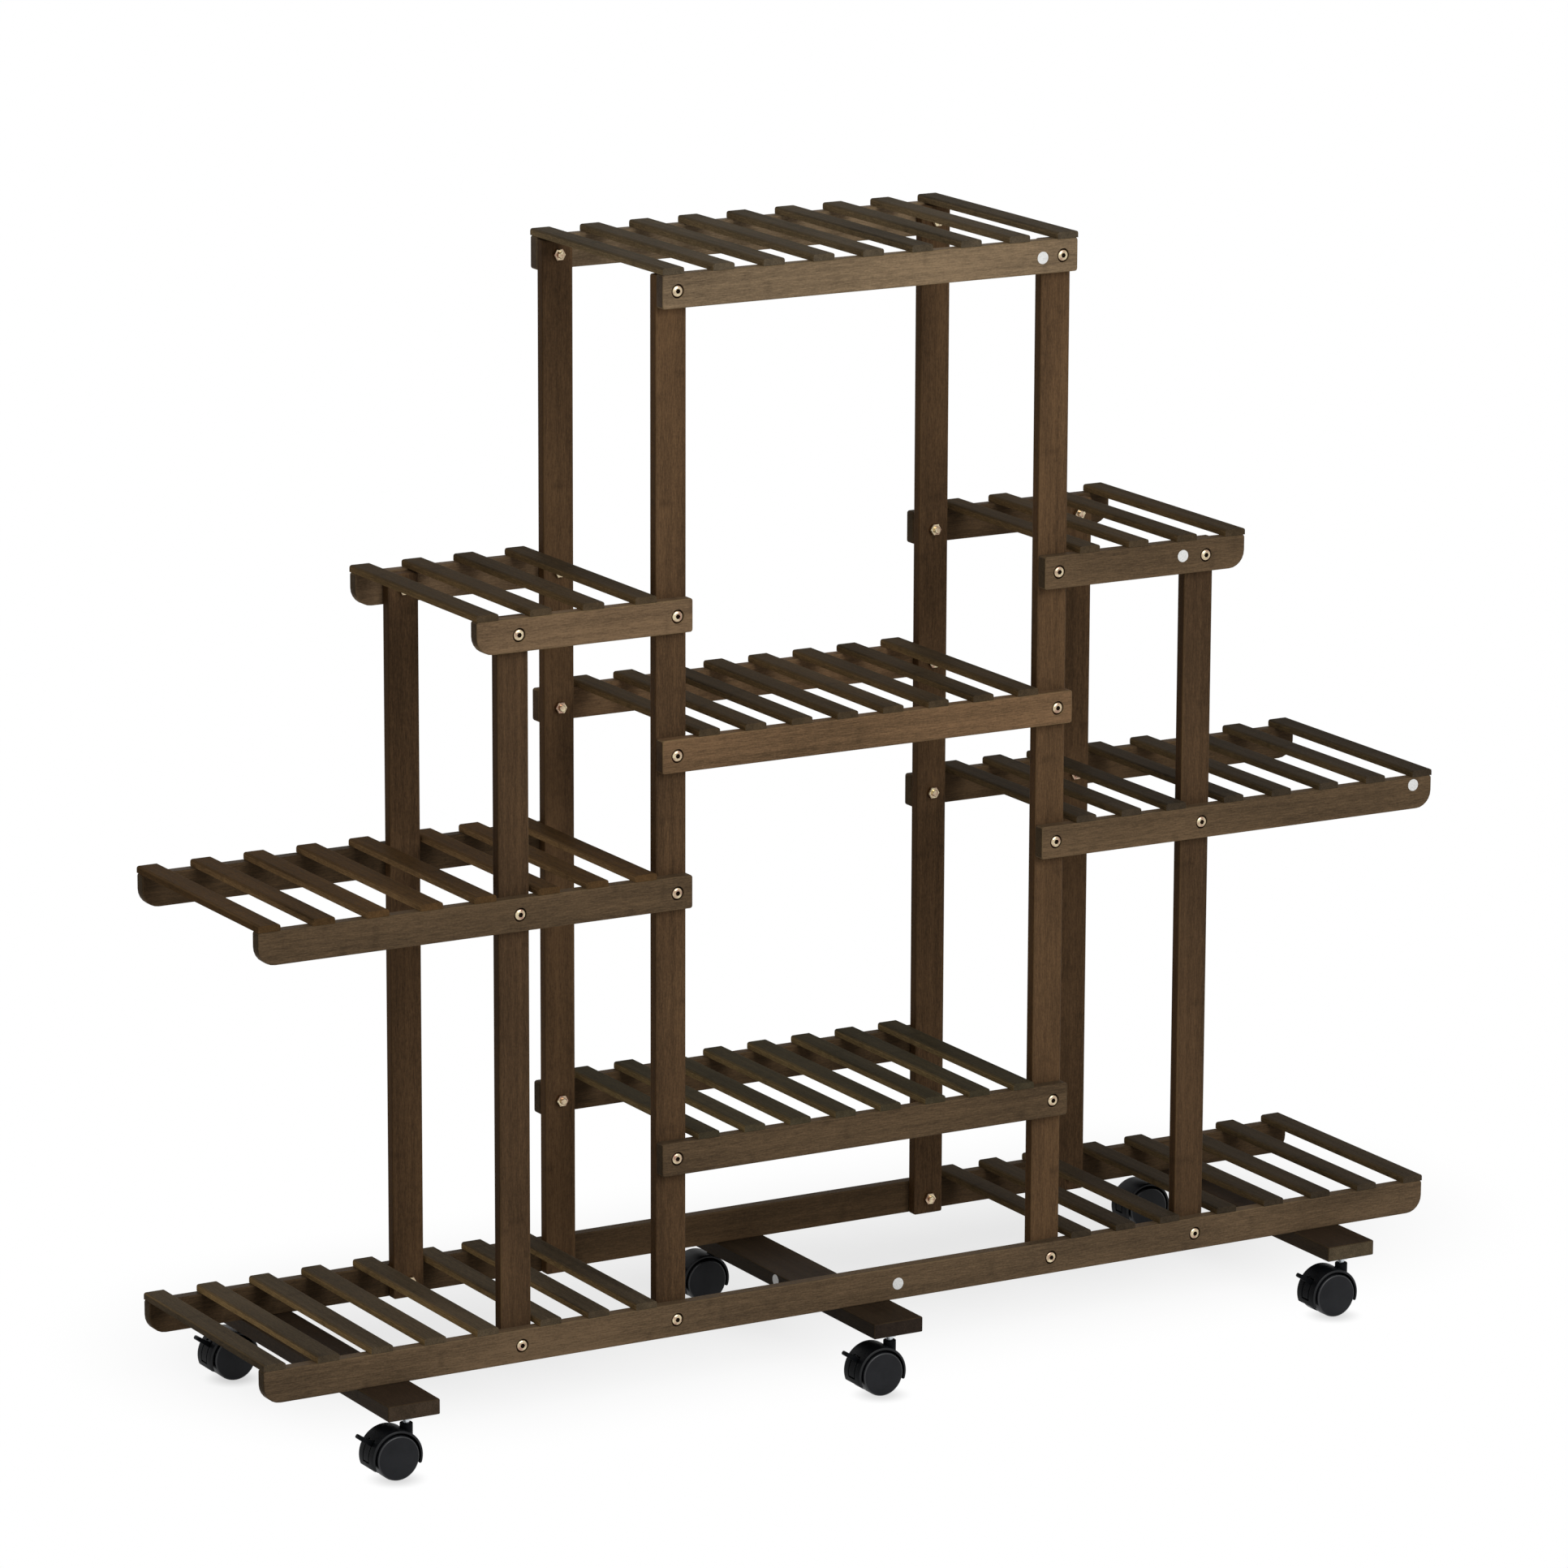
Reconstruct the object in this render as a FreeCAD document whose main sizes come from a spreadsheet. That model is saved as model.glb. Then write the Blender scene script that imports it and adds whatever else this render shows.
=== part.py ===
import FreeCAD, Part
import os
import re
import Sketcher

# Rolling plant stand: stepped shelves of bamboo boards on six twin-wheel casters.
# Millimetres, X from left to right, Y from front to rear, Z up from the floor.

SIZES = {
    # boards of the frame
    "base_length": 1200,
    "shelf_depth": 242,
    "board_thick": 12,
    "rail_height": 30,
    "post_width": 30,
    "edge_ease": 1.5,
    "end_round": 16,
    "post_drop": 1.5,
    # distances from the middle of the stand
    "inner_place": 194,
    "outer_place": 349,
    "upper_reach": 390,
    # rail tops above the base rail tops
    "low_rise": 148,
    "mid_rise": 389,
    "centre_rise": 512,
    "upper_rise": 636,
    "top_rise": 921,
    # slats and the gaps they leave beside the posts
    "slat_width": 21,
    "slat_thick": 6,
    "slat_ease": 1.8,
    "inner_gap": 6,
    "outer_gap": 2.5,
    "beyond_gap": 8.5,
    "top_count": 9,
    "centre_count": 8,
    "upper_count": 4,
    "near_count": 3,
    "far_count": 5,
    # cross beams
    "beam_width": 50,
    "beam_thick": 14,
    "beam_reach": 56,
    "beam_inset": 116,
    # casters; the hood reaches below the axle by two angles, ahead and behind
    "caster_height": 54,
    "stem_reach": 40,
    "wheel_size": 40,
    "caster_width": 31,
    "caster_trail": 15,
    "web_thick": 7,
    "wheel_gap": 0.5,
    "hood_gap": 1.6,
    "hood_wall": 2.7,
    "hood_width": 28,
    "hood_front": 13,
    "hood_rear": 31,
    "boss_width": 11.5,
    "boss_top": 47.5,
    "socket_depth": 16,
    "axle_size": 5,
    "run_gap": 0.05,
    "end_gap": 0.3,
    # stems
    "stem_pin": 6,
    "collar_width": 11,
    "collar_thick": 4.5,
    "stem_thread": 8,
    "thread_length": 10,
    # brake levers, angles about the axle from straight ahead
    "window_top": 138,
    "window_foot": 190,
    "lever_top": 141,
    "lever_foot": 186,
    "tab_angle": 147,
    "lever_width": 9.2,
    "lever_plate": 2.3,
    "lever_gap": 1.2,
    "lever_room": 2.2,
    "tab_width": 8,
    "tab_thick": 4,
    "tab_reach": 13.7,
    "tab_ease": 1.3,
    "ear_size": 1,
    "ear_gap": 0.2,
    "ear_length": 1.5,
}

# Heights and places that follow from the sizes
BASE_TOP = "(caster_height + beam_thick + rail_height)"
RISES = {
    "base": "0",
    "lower_centre": "low_rise",
    "mid": "mid_rise",
    "centre": "centre_rise",
    "upper": "upper_rise",
    "top": "top_rise",
}
FRONT = "(-shelf_depth / 2)"
HALF_BASE = "(base_length / 2)"
BEAM_PLACE = "(base_length / 2 - beam_inset)"
INNER_FACE = "(inner_place - post_width / 2)"
INNER_BACK = "(inner_place + post_width / 2)"
AXLE_UP = "(wheel_size / 2)"
AXLE = ("-caster_trail", AXLE_UP)
POCKET_RADIUS = "(wheel_size / 2 + hood_gap)"
HOOD_RADIUS = "(wheel_size / 2 + hood_gap + hood_wall)"
PIVOT_RADIUS = "(wheel_size / 2 + hood_gap + hood_wall / 2)"
COLLAR_FOOT = "(caster_height - collar_thick)"
WINDOW_WIDTH = "(lever_width + 2 * lever_gap)"

# Small rounds that repeat on every caster are drawn with flat sides
BOSS_SIDES = 16
POCKET_SIDES = 16
BORE_SIDES = 8
EAR_SIDES = 4
COLLAR_SIDES = 6
HOOD_STEPS = 24
PLATE_STEPS = 3

# Closer than this counts as touching
TOUCH = 0.001

doc = FreeCAD.newDocument("plant_stand")
sheet = doc.addObject("Spreadsheet::Sheet", "sizes")
for row, (alias, number) in enumerate(SIZES.items(), start=1):
    sheet.set("A%d" % row, alias)
    sheet.set("B%d" % row, str(number))
    sheet.setAlias("B%d" % row, alias)
doc.recompute()

WORD = re.compile(r"[a-z_]+")
finished = []


# Formulas and bindings

def point_at_sheet(found):
    word = found.group()
    if word in SIZES:
        return "sizes." + word
    return word


def formula(text):
    """The text with every size name pointed at the spreadsheet."""
    return WORD.sub(point_at_sheet, text)


def value(text):
    """The number that a formula gives with the sizes as they stand."""
    return float(sheet.evalExpression(formula(text)))


def bind(thing, path, text):
    thing.setExpression(path, formula(text))


def bind_place(thing, path, place):
    """Bind the three coordinates of a position to formulas."""
    for letter, text in zip("xyz", place):
        bind(thing, path + "." + letter, text)


# Sketches

def new_body(name):
    body = doc.addObject("PartDesign::Body", name)
    body.Label = name
    body.AllowCompound = True
    return body


def origin_feature(body, role):
    for feature in body.Origin.OriginFeatures:
        if feature.Role == role:
            return feature


def new_sketch(body, name, plane, offset=None):
    """A sketch on an origin plane, its own origin moved by three formulas."""
    sketch = body.newObject("Sketcher::SketchObject", body.Name + "_" + name)
    sketch.AttachmentSupport = [(origin_feature(body, plane), "")]
    sketch.MapMode = "FlatFace"
    if offset:
        bind_place(sketch, "AttachmentOffset.Base", offset)
    return sketch


def hold(sketch, constraint, text):
    """Add a dimension and bind it to a formula."""
    index = sketch.addConstraint(Sketcher.Constraint(*constraint, value(text)))
    name = "size%d" % index
    sketch.renameConstraint(index, name)
    bind(sketch, "Constraints." + name, text)


def hold_point(sketch, geometry, point, place):
    hold(sketch, ("DistanceX", -1, 1, geometry, point), place[0])
    hold(sketch, ("DistanceY", -1, 1, geometry, point), place[1])


def polygon(sketch, corners):
    """A closed outline of straight lines through corners given as formulas."""
    points = [FreeCAD.Vector(value(x), value(y), 0) for x, y in corners]
    lines = []
    for start, end in zip(points, points[1:] + points[:1]):
        lines.append(sketch.addGeometry(Part.LineSegment(start, end), False))
    for line, following in zip(lines, lines[1:] + lines[:1]):
        sketch.addConstraint(Sketcher.Constraint("Coincident", line, 2, following, 1))
    for line, corner in zip(lines, corners):
        hold_point(sketch, line, 1, corner)


def rectangle(sketch, wide, high):
    """A rectangle with one corner on the sketch origin."""
    polygon(sketch, [("0", "0"), (wide, "0"), (wide, high), ("0", high)])


def circle(sketch, place, radius):
    centre = FreeCAD.Vector(value(place[0]), value(place[1]), 0)
    ring = Part.Circle(centre, FreeCAD.Vector(0, 0, 1), value(radius))
    index = sketch.addGeometry(ring, False)
    hold_point(sketch, index, 3, place)
    hold(sketch, ("Radius", index), radius)


def turned(radius, angle):
    """The place at a radius and angle about the axle, in a caster's side view."""
    across = "-caster_trail + %s * cos((%s) * 1 deg)" % (radius, angle)
    up = "%s + %s * sin((%s) * 1 deg)" % (AXLE_UP, radius, angle)
    return across, up


def sweep(radius, start, end, steps):
    """Corners along an arc about the axle, from one angle to another."""
    corners = []
    for number in range(steps + 1):
        angle = "%s + (%s - %s) * %d / %d" % (start, end, start, number, steps)
        corners.append(turned(radius, angle))
    return corners


def around(radius, sides):
    """Corner radius of a regular polygon whose flat sides touch a circle."""
    return "((%s) / cos(180 deg / %d))" % (radius, sides)


def regular(sketch, place, sides, corner):
    """A regular polygon about a place, given its corner radius."""
    corners = []
    for number in range(sides):
        turn = 360 * (number + 0.5) / sides
        across = "%s + %s * cos(%g deg)" % (place[0], corner, turn)
        up = "%s + %s * sin(%g deg)" % (place[1], corner, turn)
        corners.append((across, up))
    polygon(sketch, corners)


# Features

def add_feature(body, kind, sketch, length, back, middle):
    feature = body.newObject("PartDesign::" + kind, sketch.Name + "_" + kind.lower())
    feature.Profile = sketch
    bind(feature, "Length", length)
    feature.Reversed = back
    feature.Midplane = middle
    sketch.Visibility = False
    doc.recompute()
    return feature


def pad(body, sketch, length, back=False, middle=False):
    return add_feature(body, "Pad", sketch, length, back, middle)


def pocket(body, sketch, length, back=False, middle=False):
    """A cut that is checked to take material away."""
    before = body.Shape.Volume
    feature = add_feature(body, "Pocket", sketch, length, back, middle)
    if body.Shape.Volume >= before:
        raise RuntimeError(feature.Name + " removes nothing")
    return feature


def ease(body, base, edges, kind, size):
    """A chamfer or fillet on edges picked by a test on the edge's shape."""
    names = []
    for index, edge in enumerate(base.Shape.Edges, start=1):
        if edges(edge):
            names.append("Edge%d" % index)
    feature = body.newObject("PartDesign::" + kind, base.Name + "_" + kind.lower())
    feature.Base = (base, names)
    bind(feature, "Size" if kind == "Chamfer" else "Radius", size)
    doc.recompute()
    return feature


def pattern(body, feature, length, count):
    """Repeat a feature along X over an overall length."""
    row = body.newObject("PartDesign::LinearPattern", feature.Name + "_row")
    row.Originals = [feature]
    row.Direction = (origin_feature(body, "X_Axis"), [""])
    bind(row, "Length", length)
    bind(row, "Occurrences", count)
    body.Tip = row
    doc.recompute()


def mirror(body, feature, plane):
    twin = body.newObject("PartDesign::Mirrored", feature.Name + "_twin")
    twin.Originals = [feature]
    twin.MirrorPlane = (origin_feature(body, plane), [""])
    body.Tip = twin
    doc.recompute()


def finish(body, place, half_turn=False):
    """Put a sub-part in its place and list it for export."""
    if half_turn:
        body.Placement.Rotation = FreeCAD.Rotation(FreeCAD.Vector(0, 0, 1), 180)
    bind_place(body, "Placement.Base", place)
    finished.append(body)


def on_lengthwise_face(edge):
    """Edges lying in one of the two broad faces of a board on the XZ plane."""
    box = edge.BoundBox
    return box.YLength < TOUCH


def along_height(edge):
    box = edge.BoundBox
    return box.ZLength > box.XLength + box.YLength


def along_depth(edge):
    box = edge.BoundBox
    return box.YLength > box.XLength + box.ZLength


# Rails

def make_rail(name, start, length, level, rounded, rear=False):
    """A rail on edge; rounded names the ends whose lower corner is round."""
    body = new_body(name)
    outline = new_sketch(body, "outline", "XZ_Plane")
    rectangle(outline, length, "rail_height")
    board = pad(body, outline, "board_thick", back=True)
    last = board
    if rounded:
        far = value(length)

        def lower_corner(edge):
            box = edge.BoundBox
            if box.YLength < TOUCH or box.ZMax > TOUCH:
                return False
            return ("start" in rounded and box.XMax < TOUCH) or ("end" in rounded and box.XMin > far - TOUCH)

        last = ease(body, board, lower_corner, "Fillet", "end_round")
    ease(body, last, on_lengthwise_face, "Chamfer", "edge_ease")
    foot = "%s + %s - rail_height" % (BASE_TOP, RISES[level])
    if rear:
        # a half turn about the upright axis puts the other end first
        finish(body, ("%s + %s" % (start, length), "shelf_depth / 2", foot), half_turn=True)
    else:
        finish(body, (start, FRONT, foot))


def make_rail_pair(name, start, length, level, rounded=""):
    """The front rail and the rear rail of one shelf."""
    swapped = {"start": "end", "end": "start"}
    make_rail(name + "_front_rail", start, length, level, rounded)
    make_rail(name + "_rear_rail", start, length, level, swapped.get(rounded, rounded), rear=True)


centre_length = "2 * %s" % INNER_BACK
upper_length = "upper_reach - %s" % INNER_FACE
mid_length = "%s - %s" % (HALF_BASE, INNER_FACE)
for shelf in ("top", "centre", "lower_centre"):
    make_rail_pair(shelf, "-" + INNER_BACK, centre_length, shelf)
make_rail_pair("upper_left", "-upper_reach", upper_length, "upper", "start")
make_rail_pair("upper_right", INNER_FACE, upper_length, "upper", "end")
make_rail_pair("mid_left", "-" + HALF_BASE, mid_length, "mid", "start")
make_rail_pair("mid_right", INNER_FACE, mid_length, "mid", "end")
make_rail_pair("base", "-" + HALF_BASE, "base_length", "base", "start and end")


# Posts

def make_post(name, centre, top_rise, front):
    body = new_body(name)
    outline = new_sketch(body, "outline", "XY_Plane")
    rectangle(outline, "post_width", "board_thick")
    board = pad(body, outline, "rail_height + %s - post_drop" % top_rise)
    ease(body, board, along_height, "Chamfer", "edge_ease")
    deep = FRONT + " + board_thick" if front else "shelf_depth / 2 - 2 * board_thick"
    finish(body, (centre + " - post_width / 2", deep, "caster_height + beam_thick"))


for row_name in ("front", "rear"):
    at_front = row_name == "front"
    for side, sign in (("left", "-"), ("right", "")):
        make_post("%s_inner_%s_post" % (row_name, side), sign + "inner_place", "top_rise", at_front)
        make_post("%s_outer_%s_post" % (row_name, side), sign + "outer_place", "upper_rise", at_front)


# Slats

def make_slats(name, level, rows):
    """Slats lying on the rails; each row is a start, an end and a count."""
    body = new_body(name)
    start = rows[0][0]
    corners = [
        ("0", "0"),
        ("slat_width", "0"),
        ("slat_width", "slat_thick - slat_ease"),
        ("slat_width - slat_ease", "slat_thick"),
        ("slat_ease", "slat_thick"),
        ("0", "slat_thick - slat_ease"),
    ]
    for number, (left, right, count) in enumerate(rows):
        shift = "%s - (%s)" % (left, start)
        profile = new_sketch(body, "profile%d" % number, "XZ_Plane", (shift, "0", "0"))
        polygon(profile, corners)
        slat = pad(body, profile, "shelf_depth", back=True)
        pattern(body, slat, "%s - (%s) - slat_width" % (right, left), count)
    finish(body, (start, FRONT, "%s + %s" % (BASE_TOP, RISES[level])))


near_start = INNER_BACK + " + inner_gap"
near_end = "outer_place - post_width / 2 - outer_gap"
far_start = "outer_place + post_width / 2 + beyond_gap"
bay_start = "-(%s - inner_gap)" % INNER_FACE
bay_end = "%s - inner_gap" % INNER_FACE
make_slats("top_slats", "top", [("-" + INNER_BACK, INNER_BACK, "top_count")])
make_slats("centre_slats", "centre", [(bay_start, bay_end, "centre_count")])
make_slats("lower_centre_slats", "lower_centre", [(bay_start, bay_end, "centre_count")])
make_slats("upper_left_slats", "upper", [("-upper_reach", "-(%s)" % near_start, "upper_count")])
make_slats("upper_right_slats", "upper", [(near_start, "upper_reach", "upper_count")])
for shelf in ("mid", "base"):
    left_far = ("-" + HALF_BASE, "-(%s)" % far_start, "far_count")
    left_near = ("-(%s)" % near_end, "-(%s)" % near_start, "near_count")
    right_near = (near_start, near_end, "near_count")
    right_far = (far_start, HALF_BASE, "far_count")
    make_slats(shelf + "_left_slats", shelf, [left_far, left_near])
    make_slats(shelf + "_right_slats", shelf, [right_near, right_far])


# Cross beams with the blind holes for the caster stems

def make_beam(name, centre):
    body = new_body(name)
    outline = new_sketch(body, "outline", "XZ_Plane")
    rectangle(outline, "beam_width", "beam_thick")
    length = "shelf_depth + 2 * beam_reach"
    board = pad(body, outline, length, back=True)
    ease(body, board, along_depth, "Chamfer", "edge_ease")
    inset = "beam_reach - stem_reach"
    holes = new_sketch(body, "holes", "XY_Plane")
    for along in (inset, "%s - (%s)" % (length, inset)):
        regular(holes, ("beam_width / 2", along), BORE_SIDES, "(stem_thread / 2 + run_gap)")
    pocket(body, holes, "thread_length + end_gap", back=True)
    finish(body, (centre + " - beam_width / 2", FRONT + " - beam_reach", "caster_height"))


BEAMS = {"left": "-" + BEAM_PLACE, "centre": "0", "right": BEAM_PLACE}
for side, centre in BEAMS.items():
    make_beam(side + "_beam", centre)


# Caster pieces, each drawn about its stem with the floor at zero

def make_hood(name, place):
    """Hood with a central web, stem boss, wheel pockets and a lever window."""
    body = new_body(name)

    outline = new_sketch(body, "outline", "XZ_Plane")
    polygon(outline, sweep(HOOD_RADIUS, "(-hood_front)", "(180 + hood_rear)", HOOD_STEPS))
    pad(body, outline, "hood_width", middle=True)

    boss = new_sketch(body, "boss", "XY_Plane", ("0", "0", AXLE_UP))
    regular(boss, ("0", "0"), BOSS_SIDES, around("boss_width / 2", BOSS_SIDES))
    pad(body, boss, "boss_top - " + AXLE_UP)

    # the pocket wall is flat-sided and stands outside the wheel all round
    side_pocket = new_sketch(body, "side_pocket", "XZ_Plane", ("0", "0", "web_thick / 2"))
    regular(side_pocket, AXLE, POCKET_SIDES, around(POCKET_RADIUS, POCKET_SIDES))
    mirror(body, pocket(body, side_pocket, "hood_width", back=True), "XZ_Plane")

    window = new_sketch(body, "window", "XZ_Plane")
    floor = "(%s - lever_room)" % POCKET_RADIUS
    outside = "(%s / cos((window_foot - window_top) / 2 * 1 deg) + hood_wall)" % HOOD_RADIUS
    polygon(window, [
        turned(floor, "window_top"),
        turned(outside, "window_top"),
        turned(outside, "window_foot"),
        turned(floor, "window_foot"),
    ])
    pocket(body, window, WINDOW_WIDTH, middle=True)

    socket = new_sketch(body, "socket", "XY_Plane", ("0", "0", "boss_top"))
    circle(socket, ("0", "0"), "stem_pin / 2 + run_gap")
    pocket(body, socket, "socket_depth")

    bore = new_sketch(body, "axle_bore", "XZ_Plane")
    regular(bore, AXLE, BORE_SIDES, around("axle_size / 2 + run_gap", BORE_SIDES))
    pocket(body, bore, "web_thick + 2 * end_gap", middle=True)

    # square pockets in which the ears of the lever rock
    ears = new_sketch(body, "ear_pockets", "XZ_Plane")
    regular(ears, turned(PIVOT_RADIUS, "tab_angle"), EAR_SIDES, around("ear_size / 2 + ear_gap", EAR_SIDES))
    pocket(body, ears, WINDOW_WIDTH + " + 2 * ear_length + 2 * end_gap", middle=True)
    finish(body, place)


def make_wheels(name, place):
    """Two wheels, fused with the axle that carries them."""
    body = new_body(name)
    inside = "(web_thick / 2 + wheel_gap)"
    disc = new_sketch(body, "disc", "XZ_Plane", ("0", "0", inside))
    circle(disc, AXLE, "wheel_size / 2")
    mirror(body, pad(body, disc, "caster_width / 2 - " + inside), "XZ_Plane")
    axle = new_sketch(body, "axle", "XZ_Plane")
    regular(axle, AXLE, BORE_SIDES, "axle_size / 2")
    pad(body, axle, "2 * " + inside, middle=True)
    finish(body, place)


def make_brake(name, place):
    """Brake lever: bent plate flush with the hood, foot tab and pivot ears."""
    body = new_body(name)

    plate = new_sketch(body, "plate", "XZ_Plane")
    outer = sweep(HOOD_RADIUS, "lever_top", "lever_foot", PLATE_STEPS)
    inner = sweep("(%s - lever_plate)" % HOOD_RADIUS, "lever_foot", "lever_top", PLATE_STEPS)
    polygon(plate, outer + inner)
    pad(body, plate, "lever_width", middle=True)

    tab = new_sketch(body, "tab", "XZ_Plane")
    root = PIVOT_RADIUS
    tip = "(%s + tab_reach)" % HOOD_RADIUS
    aside = ("tab_thick / 2 * sin(tab_angle * 1 deg)", "tab_thick / 2 * cos(tab_angle * 1 deg)")
    corners = []
    for radius, sign in ((root, "+"), (tip, "+"), (tip, "-"), (root, "-")):
        across, up = turned(radius, "tab_angle")
        other = "-" if sign == "+" else "+"
        corners.append(("%s %s %s" % (across, other, aside[0]), "%s %s %s" % (up, sign, aside[1])))
    polygon(tab, corners)
    tongue = pad(body, tab, "tab_width", middle=True)
    highest = tongue.Shape.BoundBox.ZMax
    leftmost = tongue.Shape.BoundBox.XMin
    near_tip = value("tab_thick + tab_ease")

    def at_tip(edge):
        box = edge.BoundBox
        if box.YLength < value("tab_width") - TOUCH or box.XLength + box.ZLength > TOUCH:
            return False
        return abs(box.XMin - leftmost) < near_tip and abs(box.ZMax - highest) < near_tip

    ease(body, tongue, at_tip, "Chamfer", "tab_ease")

    ears = new_sketch(body, "ears", "XZ_Plane")
    regular(ears, turned(PIVOT_RADIUS, "tab_angle"), EAR_SIDES, around("ear_size / 2", EAR_SIDES))
    pad(body, ears, WINDOW_WIDTH + " + 2 * ear_length", middle=True)
    finish(body, place)


CASTERS = []
for row_name, sign in (("front", "-"), ("rear", "")):
    for side, centre in BEAMS.items():
        deep = "%s(shelf_depth / 2 + stem_reach)" % sign
        CASTERS.append(("%s_%s_caster" % (row_name, side), (centre, deep, "0")))
for name, place in CASTERS:
    make_hood(name + "_hood", place)
    make_wheels(name + "_wheels", place)
    make_brake(name + "_brake", place)


# Stems: one master, set at every caster as separate solids

def make_stem():
    body = new_body("stem_master")
    pin_foot = "(boss_top - socket_depth + end_gap)"
    pin = new_sketch(body, "pin", "XY_Plane", ("0", "0", pin_foot))
    circle(pin, ("0", "0"), "stem_pin / 2")
    pad(body, pin, "%s - %s" % (COLLAR_FOOT, pin_foot))
    collar = new_sketch(body, "collar", "XY_Plane", ("0", "0", COLLAR_FOOT))
    regular(collar, ("0", "0"), COLLAR_SIDES, around("collar_width / 2", COLLAR_SIDES))
    pad(body, collar, "collar_thick")
    thread = new_sketch(body, "thread", "XY_Plane", ("0", "0", "caster_height"))
    regular(thread, ("0", "0"), BORE_SIDES, "stem_thread / 2")
    pad(body, thread, "thread_length")
    return body


def make_group(name, master):
    """Separate copies of a master solid, one at each caster, in one node."""
    copies = []
    for _, place in CASTERS:
        copy = master.Shape.copy()
        copy.translate(FreeCAD.Vector(*[value(text) for text in place]))
        copies.append(copy)
    group = doc.addObject("Part::Feature", name)
    group.Label = name
    group.Shape = Part.makeCompound(copies)
    finished.append(group)


doc.recompute()
make_group("caster_stems", make_stem())
doc.recompute()

# Every object sound, then one file for each sub-part
for thing in doc.Objects:
    if "Invalid" in thing.State or "Error" in thing.State:
        raise RuntimeError(thing.Name + " failed to build")
os.makedirs("parts", exist_ok=True)
for part in finished:
    if part.Shape.isNull() or not part.Shape.isValid():
        raise RuntimeError(part.Label + " has no sound shape")
    part.Shape.exportStep("parts/" + part.Label + ".step")
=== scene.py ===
import math

import bmesh
import bpy
from mathutils import Matrix, Vector


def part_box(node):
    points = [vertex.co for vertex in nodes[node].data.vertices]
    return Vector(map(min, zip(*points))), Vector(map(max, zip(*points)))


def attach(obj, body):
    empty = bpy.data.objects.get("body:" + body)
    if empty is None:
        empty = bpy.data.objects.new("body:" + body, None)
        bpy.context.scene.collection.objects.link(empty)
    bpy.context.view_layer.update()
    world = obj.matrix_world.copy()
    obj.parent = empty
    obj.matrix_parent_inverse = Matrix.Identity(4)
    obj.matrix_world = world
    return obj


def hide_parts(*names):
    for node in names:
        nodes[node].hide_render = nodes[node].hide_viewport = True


# Rolling plant stand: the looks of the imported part, in the part's own frame, in metres.

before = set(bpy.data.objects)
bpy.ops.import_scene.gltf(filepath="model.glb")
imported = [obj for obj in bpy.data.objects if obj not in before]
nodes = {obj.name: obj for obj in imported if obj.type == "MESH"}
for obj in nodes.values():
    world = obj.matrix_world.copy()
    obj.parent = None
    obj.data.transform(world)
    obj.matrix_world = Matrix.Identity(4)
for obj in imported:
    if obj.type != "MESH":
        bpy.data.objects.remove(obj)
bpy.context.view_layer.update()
scene = bpy.context.scene
scene.view_settings.view_transform = "Standard"
MM = 0.001

# Places taken from the boards, in millimetres: bolts, caster stems, and rows of slats
INNER_POST = 194
OUTER_POST = 349
INNER_BOLTS = [83, 231, 472, 595, 719, 1004]
OUTER_BOLTS = [83, 472, 719]
LEFT_ROWS = [(-600, -372.5, 5), (-331.5, -215, 3)]
RIGHT_ROWS = [(215, 331.5, 3), (372.5, 600, 5)]
SLAT_ROWS = {
    "top": [(-209, 209, 9)],
    "upper_left": [(-390, -215, 4)],
    "upper_right": [(215, 390, 4)],
    "centre": [(-173, 173, 8)],
    "lower_centre": [(-173, 173, 8)],
    "mid_left": LEFT_ROWS,
    "mid_right": RIGHT_ROWS,
    "base_left": LEFT_ROWS,
    "base_right": RIGHT_ROWS,
}
CASTER_ROW = 161
CASTERS = {}
for row, deep in (("front", -CASTER_ROW), ("rear", CASTER_ROW)):
    for side, across in (("left", -484), ("centre", 0), ("right", 484)):
        CASTERS["%s_%s_caster" % (row, side)] = Vector((across, deep, 0)) * MM


# Nodes and colours

def linear(colour):
    """An sRGB hex colour as linear RGBA."""
    channels = []
    for start in (1, 3, 5):
        part = int(colour[start:start + 2], 16) / 255
        if part <= 0.04045:
            channels.append(part / 12.92)
        else:
            channels.append(((part + 0.055) / 1.055) ** 2.4)
    return (*channels, 1.0)


def shade(colour, factor):
    """A hex colour made lighter or darker by a factor."""
    channels = [min(255, round(int(colour[start:start + 2], 16) * factor)) for start in (1, 3, 5)]
    return "#%02x%02x%02x" % tuple(channels)


def add(tree, kind, settings=None, inputs=None):
    """Add a node, give it its settings, and set or link its inputs."""
    node = tree.nodes.new(kind)
    for name, setting in (settings or {}).items():
        if name == "stops":
            ramp = node.color_ramp
            while len(ramp.elements) < len(setting):
                ramp.elements.new(1.0)
            for element, (position, colour) in zip(ramp.elements, setting):
                element.position = position
                element.color = linear(colour)
        else:
            setattr(node, name, setting)
    for name, source in (inputs or {}).items():
        if isinstance(source, bpy.types.NodeSocket):
            tree.links.new(source, node.inputs[name])
        else:
            node.inputs[name].default_value = source
    return node


def maths(tree, operation, *values):
    """The result of a math node on numbers or sockets."""
    node = add(tree, "ShaderNodeMath", {"operation": operation}, dict(enumerate(values)))
    return node.outputs[0]


def vector_maths(tree, operation, *values):
    """The result of a vector math node, which is a number for lengths and distances."""
    node = add(tree, "ShaderNodeVectorMath", {"operation": operation}, dict(enumerate(values)))
    return node.outputs["Value" if operation in ("LENGTH", "DISTANCE") else "Vector"]


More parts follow.
